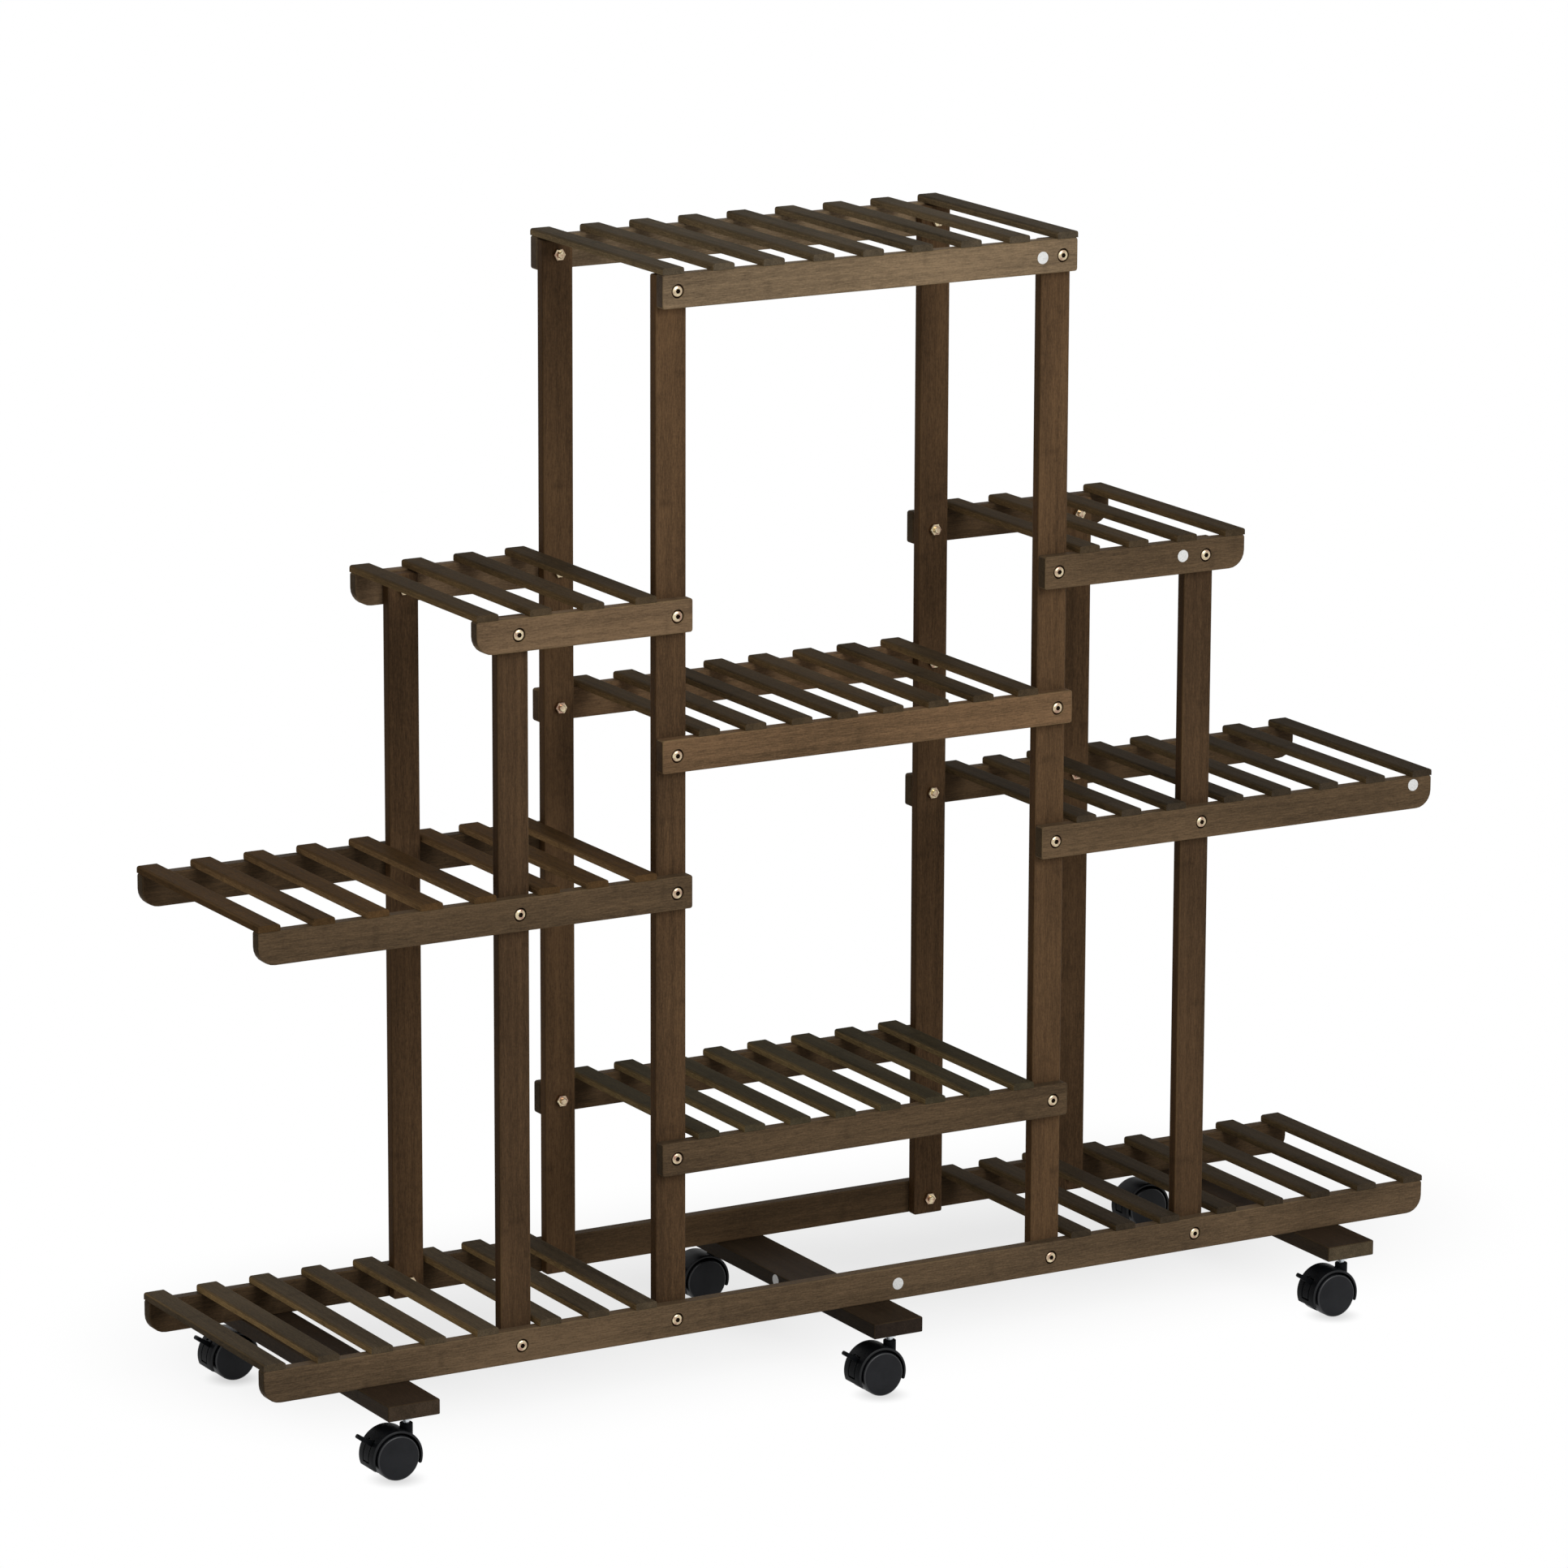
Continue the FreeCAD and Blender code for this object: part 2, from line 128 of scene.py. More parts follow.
def ranged(tree, value, start, end, to_start=0.0, to_end=1.0, style="LINEAR"):
    """A value with the range from start to end brought to another range."""
    node = add(tree, "ShaderNodeMapRange", {"interpolation_type": style}, {
        "Value": value, "From Min": start, "From Max": end, "To Min": to_start, "To Max": to_end})
    return node.outputs[0]


def noise(tree, place, size, detail=2.0):
    """Soft noise with marks of about this size in millimetres."""
    node = add(tree, "ShaderNodeTexNoise", inputs={
        "Vector": place, "Scale": 1 / (size * MM), "Detail": detail})
    return node.outputs[0]


def ramped(tree, value, stops):
    """Colours between stops of position and hex colour."""
    return add(tree, "ShaderNodeValToRGB", {"stops": stops}, {"Fac": value}).outputs[0]


def mixed(tree, share, first, second):
    """A mix of two colours."""
    node = add(tree, "ShaderNodeMix", {"data_type": "RGBA"}, {0: share, 6: first, 7: second})
    return node.outputs[2]


def parted(tree, vector):
    """The X, Y and Z of a vector."""
    return add(tree, "ShaderNodeSeparateXYZ", inputs={0: vector}).outputs


def new_material(name):
    material = bpy.data.materials.new(name)
    material.use_nodes = True
    material.node_tree.nodes.clear()
    return material, material.node_tree


def close_material(tree, shader):
    add(tree, "ShaderNodeOutputMaterial", inputs={"Surface": shader.outputs[0]})


# Camera at the photograph's viewing angle, solved from the edges of the boards

def place_camera():
    lens = bpy.data.cameras.new("photo_camera")
    lens.sensor_fit = "HORIZONTAL"
    lens.sensor_width = 36
    lens.lens = 176.568
    lens.clip_end = 200
    camera = bpy.data.objects.new("photo_camera", lens)
    right = Vector((0.86813735, -0.4963118, 0.00348383))
    up = Vector((0.11253122, 0.20366382, 0.97255219))
    turn = Matrix((right, up, right.cross(up))).transposed()
    place = Vector((-3.34592, -5.80908, 2.12613))
    camera.matrix_world = Matrix.Translation(place) @ turn.to_4x4()
    scene.collection.objects.link(camera)
    scene.camera = camera


# Studio: white surroundings, a large soft lamp in front, a weak one behind, a pale floor

AMBIENT = 0.34
FLOOR_REACH = 60.0
# the zone of painted shade in which the part's real shadow shows: middle, half length and fade in metres,
# and how white it stays
SHADOW_MIDDLE = (0.11, 0.18, 0)
SHADOW_HALF = (0.41, 0, 0)
SHADOW_FADE = 0.36
SHADOW_WHITE = 0.7
# the painted contact shadow about a pair of wheels: how far its middle lies ahead of them, where it
# starts to fade and where it ends, in millimetres, and how white it is in the middle
CONTACT_SHADOW_AHEAD = 10
CONTACT_SHADOW_START = 4
CONTACT_SHADOW_END = 30
CONTACT_SHADOW_WHITE = 0.7


def background_ray(tree):
    """One for rays that should see the white background, zero for lighting rays."""
    path = add(tree, "ShaderNodeLightPath").outputs
    seen = maths(tree, "MAXIMUM", path["Is Camera Ray"], path["Is Glossy Ray"])
    return maths(tree, "MAXIMUM", seen, path["Is Transmission Ray"])


def light_world():
    world = bpy.data.worlds.new("studio")
    scene.world = world
    world.use_nodes = True
    tree = world.node_tree
    tree.nodes.clear()
    strength = ranged(tree, background_ray(tree), 0.0, 1.0, AMBIENT)
    glow = add(tree, "ShaderNodeBackground", inputs={
        "Color": linear("#ffffff"), "Strength": strength})
    add(tree, "ShaderNodeOutputWorld", inputs={"Surface": glow.outputs[0]})


def add_lamp(name, place, aim, size, power):
    lamp = bpy.data.lights.new(name, "AREA")
    lamp.shape = "SQUARE"
    lamp.size = size
    lamp.energy = power
    thing = bpy.data.objects.new(name, lamp)
    place = Vector(place)
    turn = (Vector(aim) - place).to_track_quat("-Z", "Y").to_matrix().to_4x4()
    thing.matrix_world = Matrix.Translation(place) @ turn
    scene.collection.objects.link(thing)


def lay_floor():
    """A pale floor, white to the camera apart from painted shade under and behind the part, which holds
    its real shadow, and a painted contact shadow about each pair of wheels.
    """
    mesh = bpy.data.meshes.new("studio_floor")
    corners = [(-1, -1), (1, -1), (1, 1), (-1, 1)]
    mesh.from_pydata([(x * FLOOR_REACH, y * FLOOR_REACH, 0) for x, y in corners], [], [(0, 1, 2, 3)])
    floor = put_in_scene("studio_floor", mesh)
    material, tree = new_material("pale_studio_paper")
    paper = add(tree, "ShaderNodeBsdfDiffuse", inputs={"Color": linear("#f2f2f2")})
    place = add(tree, "ShaderNodeTexCoord").outputs["Object"]

    # painted shade: in a long zone under and behind the part the camera sees some of the lit paper, greyer
    # than white even where unshadowed, with the part's real shadow in it, and the zone fades out about it
    outward = vector_maths(tree, "ABSOLUTE", vector_maths(tree, "SUBTRACT", place, SHADOW_MIDDLE))
    beyond = vector_maths(tree, "SUBTRACT", outward, SHADOW_HALF)
    distance = vector_maths(tree, "LENGTH", vector_maths(tree, "MAXIMUM", beyond, (0, 0, 0)))
    zone = ranged(tree, distance, 0.0, SHADOW_FADE, SHADOW_WHITE, 1.0, "SMOOTHSTEP")
    share = maths(tree, "MULTIPLY", background_ray(tree), zone)

    # and a painted contact shadow dims the floor's white close about each pair of wheels
    bright = 1.0
    for caster in CASTERS.values():
        spot = caster - Vector((TRAIL, CONTACT_SHADOW_AHEAD, 0)) * MM
        away = vector_maths(tree, "DISTANCE", place, spot)
        near = ranged(tree, away, CONTACT_SHADOW_START * MM, CONTACT_SHADOW_END * MM, CONTACT_SHADOW_WHITE, 1.0, "SMOOTHSTEP")
        bright = maths(tree, "MULTIPLY", bright, near)
    white = add(tree, "ShaderNodeEmission", inputs={"Color": linear("#ffffff"), "Strength": bright})
    both = add(tree, "ShaderNodeMixShader", inputs={0: share, 1: paper.outputs[0], 2: white.outputs[0]})
    close_material(tree, both)
    mesh.materials.append(material)


# Materials

GRAIN = {"x": 0, "y": 1, "z": 2}
# marks in bamboo: width and length in millimetres, detail, and share in the tone
# fibres are about 0.4 mm wide, drawn 0.8 mm wide so that they show in the render
BAMBOO_MARKS = {
    "fibres": (0.8, 11, 2.0, 0.34),
    "pores": (1.3, 2.4, 1.0, 0.18),
    "strips": (5, 420, 1.0, 0.16),
    "clouds": (70, 240, 2.0, 0.32),
}
# knuckles: width of a strip and length between two of them, where a band starts to fade and where it
# ends, counted from its middle, all in millimetres, and the tone in its middle
STRIP_WIDTH = 15
KNUCKLE_PITCH = 280
KNUCKLE_FULL = 0.5
KNUCKLE_NONE = 5
KNUCKLE_TONE = 0.91


def stretched(axis, width, length):
    """Scale of a pattern whose marks have this width and this length along one axis."""
    scale = [1 / width] * 3
    scale[GRAIN[axis]] = 1 / length
    return scale


def stained_bamboo(name, axis, stain, side, worn, end=None, outer=None, gloss=0.012):
    """Bamboo board, planed, stained and wiped: short fine fibres along the board, a speckle of pores,
    faint broader strips with a knuckle here and there, slow cloudy patches in the stain, satin, and
    paler where edges are rubbed. side is the colour of faces that look along X, apart from those
    farther out than outer, and end of those that look along Y; these face colours hold painted light
    and shade as well as stain, and faces farther out than outer keep the main colour as painted shade."""
    material, tree = new_material(name)
    place = add(tree, "ShaderNodeTexCoord").outputs
    spot = parted(tree, place["Object"])

    layers = {}
    tone = 0.0
    for mark, (width, length, detail, share) in BAMBOO_MARKS.items():
        spread = add(tree, "ShaderNodeMapping", inputs={
            "Vector": place["Object"], "Scale": stretched(axis, width * MM, length * MM)})
        pattern = add(tree, "ShaderNodeTexNoise", inputs={
            "Vector": spread.outputs[0], "Scale": 1.0, "Detail": detail, "Roughness": 0.6})
        layers[mark] = pattern.outputs[0]
        tone = maths(tree, "MULTIPLY_ADD", layers[mark], share, tone)

    # knuckles: a soft dark band across each strip, at a place of its own in every strip
    others = [spot[letter] for letter in "XYZ" if letter != axis.upper()]
    strip = maths(tree, "DIVIDE", maths(tree, "ADD", others[0], others[1]), STRIP_WIDTH * MM)
    number = maths(tree, "FLOOR", strip)
    start = add(tree, "ShaderNodeTexWhiteNoise", {"noise_dimensions": "1D"}, {"W": number}).outputs[0]
    turns = maths(tree, "MULTIPLY_ADD", spot[axis.upper()], 1 / (KNUCKLE_PITCH * MM), start)
    apart = maths(tree, "SUBTRACT", maths(tree, "FRACT", turns), 0.5)
    away = maths(tree, "ABSOLUTE", apart)
    knuckle = ranged(tree, away, KNUCKLE_FULL / KNUCKLE_PITCH, KNUCKLE_NONE / KNUCKLE_PITCH, KNUCKLE_TONE)
    tone = maths(tree, "MULTIPLY", tone, knuckle)

    # faces are told apart by the direction they look in; the colours of sides and ends are partly painted
    # light and shade
    facing = parted(tree, vector_maths(tree, "ABSOLUTE", place["Normal"]))
    shaded = None
    for colour, direction in ((stain, None), (side, "X"), (end, "Y")):
        if colour is None:
            continue
        stops = [(0.38, shade(colour, 0.76)), (0.5, colour), (0.62, shade(colour, 1.22))]
        ramp = ramped(tree, tone, stops)
        if direction is None:
            shaded = ramp
            continue
        share = ranged(tree, facing[direction], 0.85, 0.95)
        # painted shade: sides farther out than outer keep the main colour
        if direction == "X" and outer:
            inside = maths(tree, "LESS_THAN", maths(tree, "ABSOLUTE", spot["X"]), outer * MM)
            share = maths(tree, "MULTIPLY", share, inside)
        shaded = mixed(tree, share, shaded, ramp)

    # eased edges look between two axes, and lose stain in patches
    larger = maths(tree, "MAXIMUM", facing["X"], facing["Y"])
    eased = ranged(tree, maths(tree, "MAXIMUM", larger, facing["Z"]), 0.97, 0.8)
    patches = ranged(tree, layers["clouds"], 0.35, 0.65, 0.0, 0.6)
    final = mixed(tree, maths(tree, "MULTIPLY", eased, patches), shaded, linear(worn))

    sheen = ranged(tree, layers["fibres"], 0.3, 0.7, 0.42, 0.58)
    relief = add(tree, "ShaderNodeBump", inputs={
        "Strength": 0.3, "Distance": 0.12 * MM, "Height": layers["fibres"]})
    wood = add(tree, "ShaderNodeBsdfPrincipled", inputs={
        "Base Color": final, "Roughness": sheen, "Specular IOR Level": gloss, "Normal": relief.outputs[0]})
    close_material(tree, wood)
    return material


def black_nylon(name, deep, pale, gloss, rim_gloss, rim):
    """Moulded nylon: near black, finely spark-textured by the mould, with a soft even sheen and a
    smoother rim, given as two distances from the caster's middle plane in millimetres."""
    material, tree = new_material(name)
    place = add(tree, "ShaderNodeTexCoord").outputs["Object"]
    row = maths(tree, "ABSOLUTE", parted(tree, place)["Y"])
    aside = maths(tree, "ABSOLUTE", maths(tree, "SUBTRACT", row, CASTER_ROW * MM))
    on_rim = maths(tree, "COMPARE", aside, sum(rim) / 2 * MM, (rim[1] - rim[0]) / 2 * MM)
    smooth = maths(tree, "MULTIPLY_ADD", on_rim, rim_gloss - gloss, gloss)
    # the mould's grit is about 0.1 mm, drawn at 0.6 mm so that it shows
    grit = noise(tree, place, 0.6)
    colour = ramped(tree, noise(tree, place, 14), [(0.35, deep), (0.65, pale)])
    sheen = ranged(tree, grit, 0.3, 0.7, 0.34, 0.5)
    relief = add(tree, "ShaderNodeBump", inputs={
        "Strength": 0.15, "Distance": 0.05 * MM, "Height": grit})
    plastic = add(tree, "ShaderNodeBsdfPrincipled", inputs={
        "Base Color": colour, "Roughness": sheen, "IOR": 1.53, "Specular IOR Level": smooth,
        "Normal": relief.outputs[0]})
    close_material(tree, plastic)
    return material


def plated_steel(name, pale, deep, rough):
    """Zinc-plated steel, passivated: bright metal whose tint drifts a little over each piece."""
    material, tree = new_material(name)
    place = add(tree, "ShaderNodeTexCoord").outputs["Object"]
    colour = ramped(tree, noise(tree, place, 5), [(0.35, deep), (0.62, pale)])
    scuffs = noise(tree, place, 0.8, 3.0)
    polish = ranged(tree, scuffs, 0.0, 1.0, rough - 0.1, rough + 0.1)
    metal = add(tree, "ShaderNodeBsdfPrincipled", inputs={
        "Base Color": colour, "Metallic": 1.0, "Roughness": polish})
    close_material(tree, metal)
    return material


def white_paper():
    """Coated label paper: flat white with faint fibre clouding."""
    material, tree = new_material("white_label_paper")
    place = add(tree, "ShaderNodeTexCoord").outputs["Object"]
    colour = ramped(tree, noise(tree, place, 1.5, 3.0), [(0.35, "#d9d9d6"), (0.6, "#e9e9e7")])
    paper = add(tree, "ShaderNodeBsdfPrincipled", inputs={
        "Base Color": colour, "Roughness": 0.55, "Specular IOR Level": 0.3})
    close_material(tree, paper)
    return material


def painted_recess_shade():
    """Painted shade on the floor of a counterbore, where the recess lies in shade: nearly black brown,
    dull.
    """
    material, tree = new_material("painted_counterbore_shade")
    place = add(tree, "ShaderNodeTexCoord").outputs["Object"]
    colour = ramped(tree, noise(tree, place, 0.9), [(0.35, "#120c08"), (0.65, "#261b13")])
    wood = add(tree, "ShaderNodeBsdfPrincipled", inputs={
        "Base Color": colour, "Roughness": 0.8, "Specular IOR Level": 0.02})
    close_material(tree, wood)
    return material


# Pieces in mesh code

LIP_STEPS = 5
SHARP_ANGLE = 34


def put_in_scene(name, mesh):
    piece = bpy.data.objects.new(name, mesh)
    scene.collection.objects.link(piece)
    return piece


def shade_rounds(mesh):
    """Smooth shading over rounds, sharp where faces meet at more than the sharp angle."""
    for face in mesh.polygons:
        face.use_smooth = True
    mesh.set_sharp_from_angle(angle=math.radians(SHARP_ANGLE))


def shade_flats(mesh):
    """Smooth shading on rounded edges only, so that the broad faces stay flat."""
    for face in mesh.polygons:
        face.use_smooth = max(abs(part) for part in face.normal) < 0.999


def turned(name, profile, steps, start=0, end=360, lip=0.0):
    """A shape turned about the Y axis from points of radius and place along Y, in millimetres.
    A part turn may have its outside drawn in to a round lip at both ends."""
    shape = bmesh.new()
    whole = end - start >= 360
    count = steps if whole else steps + 1
    taken = math.degrees(lip / max(radius for radius, along in profile))
    turn = end - start - 2 * taken
    stations = [(start + taken + turn * number / steps, 0.0) for number in range(count)]
    for step in range(1, LIP_STEPS + 1 if lip else 1):
        bend = math.radians(90 * step / LIP_STEPS)
        further = taken * math.sin(bend)
        drawn = lip * (1 - math.cos(bend))
        stations = [(start + taken - further, drawn)] + stations + [(end - taken + further, drawn)]
    rings = []
    for degrees, drawn in stations:
        angle = math.radians(degrees)
        ring = []
        for radius, along in profile:
            reach = max(0, radius - drawn)
            corner = Vector((reach * math.cos(angle), along, reach * math.sin(angle)))
            ring.append(shape.verts.new(corner * MM))
        rings.append(ring)
    following = rings[1:] + rings[:1] if whole else rings[1:]
    for ring, after in zip(rings, following):
        for number in range(len(profile)):
            after_number = (number + 1) % len(profile)
            shape.faces.new((ring[number], after[number], after[after_number], ring[after_number]))
    if not whole:
        shape.faces.new(rings[0])
        shape.faces.new(rings[-1])
    bmesh.ops.remove_doubles(shape, verts=shape.verts, dist=0.001 * MM)
    bmesh.ops.dissolve_degenerate(shape, edges=shape.edges, dist=0.001 * MM)
    bmesh.ops.recalc_face_normals(shape, faces=shape.faces)
    mesh = bpy.data.meshes.new(name)
    shape.to_mesh(mesh)
    shape.free()
    return put_in_scene(name, mesh)


def rod(radius, start, end):
    """Profile of a plain round rod, to be turned."""
    return [(0, start), (radius, start), (radius, end), (0, end)]


def upright(piece):
    """Turn a shape made about the Y axis so that its Y points up."""
    piece.data.transform(Matrix.Rotation(math.radians(90), 4, "X"))
    return piece


def slab(name, corners, low, high, round_off=0.0):
    """A closed outline in the XZ plane, given thickness along Y, edges rounded, in millimetres."""
    shape = bmesh.new()
    front = [shape.verts.new(Vector((x, low, z)) * MM) for x, z in corners]
    back = [shape.verts.new(Vector((x, high, z)) * MM) for x, z in corners]
    shape.faces.new(front)
    shape.faces.new(back)
    count = len(corners)
    for number in range(count):
        after = (number + 1) % count
        shape.faces.new((front[number], front[after], back[after], back[number]))
    bmesh.ops.recalc_face_normals(shape, faces=shape.faces)
    if round_off:
        edges = [edge for edge in shape.edges if edge.calc_face_angle() > math.radians(30)]
        bmesh.ops.bevel(shape, geom=edges, offset=round_off * MM, segments=3, profile=0.5,
                        affect="EDGES")
    mesh = bpy.data.meshes.new(name)
    shape.to_mesh(mesh)
    shape.free()
    return put_in_scene(name, mesh)


def combine(piece, other, operation):
    """Join another shape to a piece or cut it out, and drop the other shape."""
    modifier = piece.modifiers.new("combine", "BOOLEAN")
    modifier.operation = operation
    modifier.object = other
    modifier.solver = "EXACT"
    graph = bpy.context.evaluated_depsgraph_get()
    mesh = bpy.data.meshes.new_from_object(piece.evaluated_get(graph))
    piece.modifiers.remove(modifier)
    piece.data = mesh
    bpy.data.objects.remove(other)


# Boards with rounded edges and corners

CORNER_STEPS = 6
RAIL_CORNER = 2.5
RAIL_END = 16
BOARD_EDGES = {"rail": 1.4, "post": 2.0, "beam": 1.2}
COUNTERBORE = 6.4
COUNTERBORE_DEEP = 2.0


def rounded_outline(left, foot, right, top, radii):
    """A rectangle in the XZ plane with a radius at each corner, from the lower left round."""
    corners = [(left, foot, 1, 1), (right, foot, -1, 1), (right, top, -1, -1), (left, top, 1, -1)]
    outline = []
    for number, ((x, z, inward, upward), radius) in enumerate(zip(corners, radii)):
        for step in range(CORNER_STEPS + 1):
            turn = math.radians(180 + 90 * number + 90 * step / CORNER_STEPS)
            across = x + inward * radius + radius * math.cos(turn)
            up = z + upward * radius + radius * math.sin(turn)
            outline.append((across, up))
    return outline


def corner_radii(name, kind):
    """Radii of a board's corners; side shelves and the base have a large round at their free ends."""
    radii = [BOARD_EDGES[kind]] * 4
    if kind == "rail":
        radii = [RAIL_CORNER] * 4
        if "left" in name or "base" in name:
            radii[0] = RAIL_END
        if "right" in name or "base" in name:
            radii[1] = RAIL_END
    return radii


def board_look(name, kind):
    """Which stain a board has; the shelves, the rear rails and the front outer posts differ partly as
    painted light and shade.
    """
    if kind == "beam":
        return name
    if kind == "post":
        return "outer_post" if name.startswith("front_outer") else "post"
    shelf, row = name.split("_rail")[0].rsplit("_", 1)
    shelves = {"top": "pale_rail", "upper_left": "middle_rail", "centre": "warm_rail"}
    if shelf not in shelves and row == "rear":
        return "rear_rail"
    if shelf == "base":
        return "base_rail"
    return shelves.get(shelf, "dark_rail")


def bolt_places(face):
    places = []
    for side in (-1, 1):
        places += [(side * INNER_POST, face, up) for up in INNER_BOLTS]
        places += [(side * OUTER_POST, face, up) for up in OUTER_BOLTS]
    return places


def cut_counterbores(piece, low, high):
    """Round recesses for the bolt heads in the outer face of a rail."""
    face = low.y if low.y < 0 else high.y
    deep = COUNTERBORE_DEEP
    for x, y, z in bolt_places(face):
        if low.x < x < high.x and low.z < z < high.z:
            recess = turned("recess", rod(COUNTERBORE, -deep, deep), 32)
            recess.data.transform(Matrix.Translation(Vector((x, y, z)) * MM))
            combine(piece, recess, "DIFFERENCE")


def dress_boards(looks):
    """Rounded rails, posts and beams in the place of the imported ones."""
    for name in nodes:
        kind = name.split("_")[-1]
        if kind not in BOARD_EDGES:
            continue
        low, high = [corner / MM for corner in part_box(name)]
        outline = rounded_outline(low.x, low.z, high.x, high.z, corner_radii(name, kind))
        piece = slab("planed_" + name, outline, low.y, high.y, BOARD_EDGES[kind])
        if kind == "rail":
            cut_counterbores(piece, low, high)
        shade_flats(piece.data)
        piece.data.materials.append(looks[board_look(name, kind)])
        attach(piece, "frame")
        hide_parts(name)


# Casters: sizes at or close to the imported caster's, in millimetres and degrees, and moulded rounds

TRAIL = 15
AXLE_UP = 20
AXLE = 2.5
WHEEL = 20
HALF_WIDTH = 15.5
WHEEL_FACE = 4
FACE_EASE = 0.6
HOOD = 24.3
HALF_HOOD = 14
POCKET = 22.2
HALF_WEB = 3.5
HUB = 7
AXLE_BORE = 2.6
HOOD_FRONT = -20
HOOD_REAR = 204
HOOD_LIP = 1.7
BOSS = 5.75
BOSS_TOP = 46.4
SOCKET = 3.3
SOCKET_FLOOR = 31.5
WINDOW_FLOOR = 19.4
WINDOW_ANGLES = (138, 190)
HALF_WINDOW = 5.8
PLATE_ANGLES = (141, 186)
PLATE_STEPS = 9
PLATE_THICK = 2.3
HALF_PLATE = 4.6
TAB_ANGLE = 147
HALF_TAB = 4
TAB_EASE = 0.35
# the foot tab: distance from the axle, and half the tab's thickness there
TAB_SECTIONS = [(22.9, 2.4), (27, 2.1), (32, 1.9), (35.5, 2.0), (37, 1.9), (37.7, 1.4), (38, 0.7)]
# moulded rounds: how far in from the tread, barrel or boss, and from the side or top
WHEEL_ROUND = [(1.4, 0), (0.7, 0.2), (0.2, 0.7), (0, 1.5)]
HOOD_ROUND = [(0.9, 0), (0.4, 0.2), (0.1, 0.6), (0, 1.2)]
BOSS_ROUND = [(0, 0.8), (0.25, 0.3), (0.75, 0)]
# ends of the shapes that cut the hood, all outside of what they cut
POCKET_END = 20
WINDOW_END = 30
BORE_END = 4
SOCKET_END = 55
AT_AXLE = Matrix.Translation(Vector((-TRAIL, 0, AXLE_UP)) * MM)


def about_axle(radius, angle):
    turn = math.radians(angle)
    return radius * math.cos(turn), radius * math.sin(turn)


def both_sides(near):
    """A whole profile from its half on one side of the middle plane."""
    return near + [(radius, -along) for radius, along in reversed(near)]


def wheel_shape():
    """Two wheels on one axle: flat discs with a small rolled edge."""
    edge = [(WHEEL - inward, HALF_WIDTH - aside) for inward, aside in WHEEL_ROUND]
    face = [(WHEEL, WHEEL_FACE + FACE_EASE), (WHEEL - FACE_EASE, WHEEL_FACE), (AXLE, WHEEL_FACE)]
    piece = turned("wheel_shape", both_sides([(0, HALF_WIDTH)] + edge + face), 64)
    piece.data.transform(AT_AXLE)
    return piece


def hood_shape():
    """Moulded hood: rounded barrel over both wheels, web, stem boss and lever window."""
    rim = [(HOOD - inward, HALF_HOOD - aside) for inward, aside in HOOD_ROUND]
    barrel = both_sides([(0, HALF_HOOD)] + rim)
    hood = turned("hood_shape", barrel, 60, HOOD_FRONT, HOOD_REAR, HOOD_LIP)
    combine(hood, turned("hub", rod(HUB, HALF_WEB, -HALF_WEB), 24), "UNION")
    hood.data.transform(AT_AXLE)

    lip = [(BOSS - inward, BOSS_TOP - down) for inward, down in BOSS_ROUND]
    boss = turned("boss", [(0, AXLE_UP), (BOSS, AXLE_UP)] + lip + [(0, BOSS_TOP)], 40)
    combine(hood, upright(boss), "UNION")
    for side in (1, -1):
        space = turned("space", rod(POCKET, side * HALF_WEB, side * POCKET_END), 64)
        space.data.transform(AT_AXLE)
        combine(hood, space, "DIFFERENCE")

    start, end = WINDOW_ANGLES
    corners = [about_axle(WINDOW_FLOOR, start), about_axle(WINDOW_END, start)]
    corners += [about_axle(WINDOW_END, end), about_axle(WINDOW_FLOOR, end)]
    window = slab("window", corners, -HALF_WINDOW, HALF_WINDOW)
    window.data.transform(AT_AXLE)
    combine(hood, window, "DIFFERENCE")
    # bore and socket are turned a little, so that none of their corners falls on an edge they cut
    bore = turned("bore", rod(AXLE_BORE, BORE_END, -BORE_END), 32, 2, 362)
    bore.data.transform(AT_AXLE)
    combine(hood, bore, "DIFFERENCE")
    socket = turned("socket", rod(SOCKET, SOCKET_FLOOR, SOCKET_END), 28, 4, 364)
    combine(hood, upright(socket), "DIFFERENCE")
    return hood


def lever_shape():
    """Brake lever: curved plate in the window and a rounded foot tab."""
    start, end = PLATE_ANGLES
    angles = [start + (end - start) * number / PLATE_STEPS for number in range(PLATE_STEPS + 1)]
    outer = [about_axle(HOOD, angle) for angle in angles]
    inner = [about_axle(HOOD - PLATE_THICK, angle) for angle in reversed(angles)]
    lever = slab("lever_shape", outer + inner, -HALF_PLATE, HALF_PLATE)
    along = Vector(about_axle(1, TAB_ANGLE))
    aside = Vector((-along.y, along.x))
    upper = [tuple(along * radius + aside * thick) for radius, thick in TAB_SECTIONS]
    lower = [tuple(along * radius - aside * thick) for radius, thick in reversed(TAB_SECTIONS)]
    tab = slab("tab", upper + lower, -HALF_TAB, HALF_TAB, TAB_EASE)
    combine(lever, tab, "UNION")
    lever.data.transform(AT_AXLE)
    return lever


def dress_casters(looks):
    """Finer hoods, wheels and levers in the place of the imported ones."""
    shapes = {"hood": hood_shape(), "wheels": wheel_shape(), "brake": lever_shape()}
    bodies = {"hood": "swivel", "wheels": "wheels", "brake": "brake"}
    for kind, shape in shapes.items():
        shade_rounds(shape.data)
        for caster, place in CASTERS.items():
            mesh = shape.data.copy()
            mesh.transform(Matrix.Translation(place))
            mesh.materials.clear()
            mesh.materials.append(looks[kind])
            piece = put_in_scene("moulded_%s_%s" % (caster, kind), mesh)
            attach(piece, "%s_%s" % (caster, bodies[kind]))
            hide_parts("%s_%s" % (caster, kind))
        bpy.data.objects.remove(shape)


# Pieces that repeat, grown on points by geometry trees

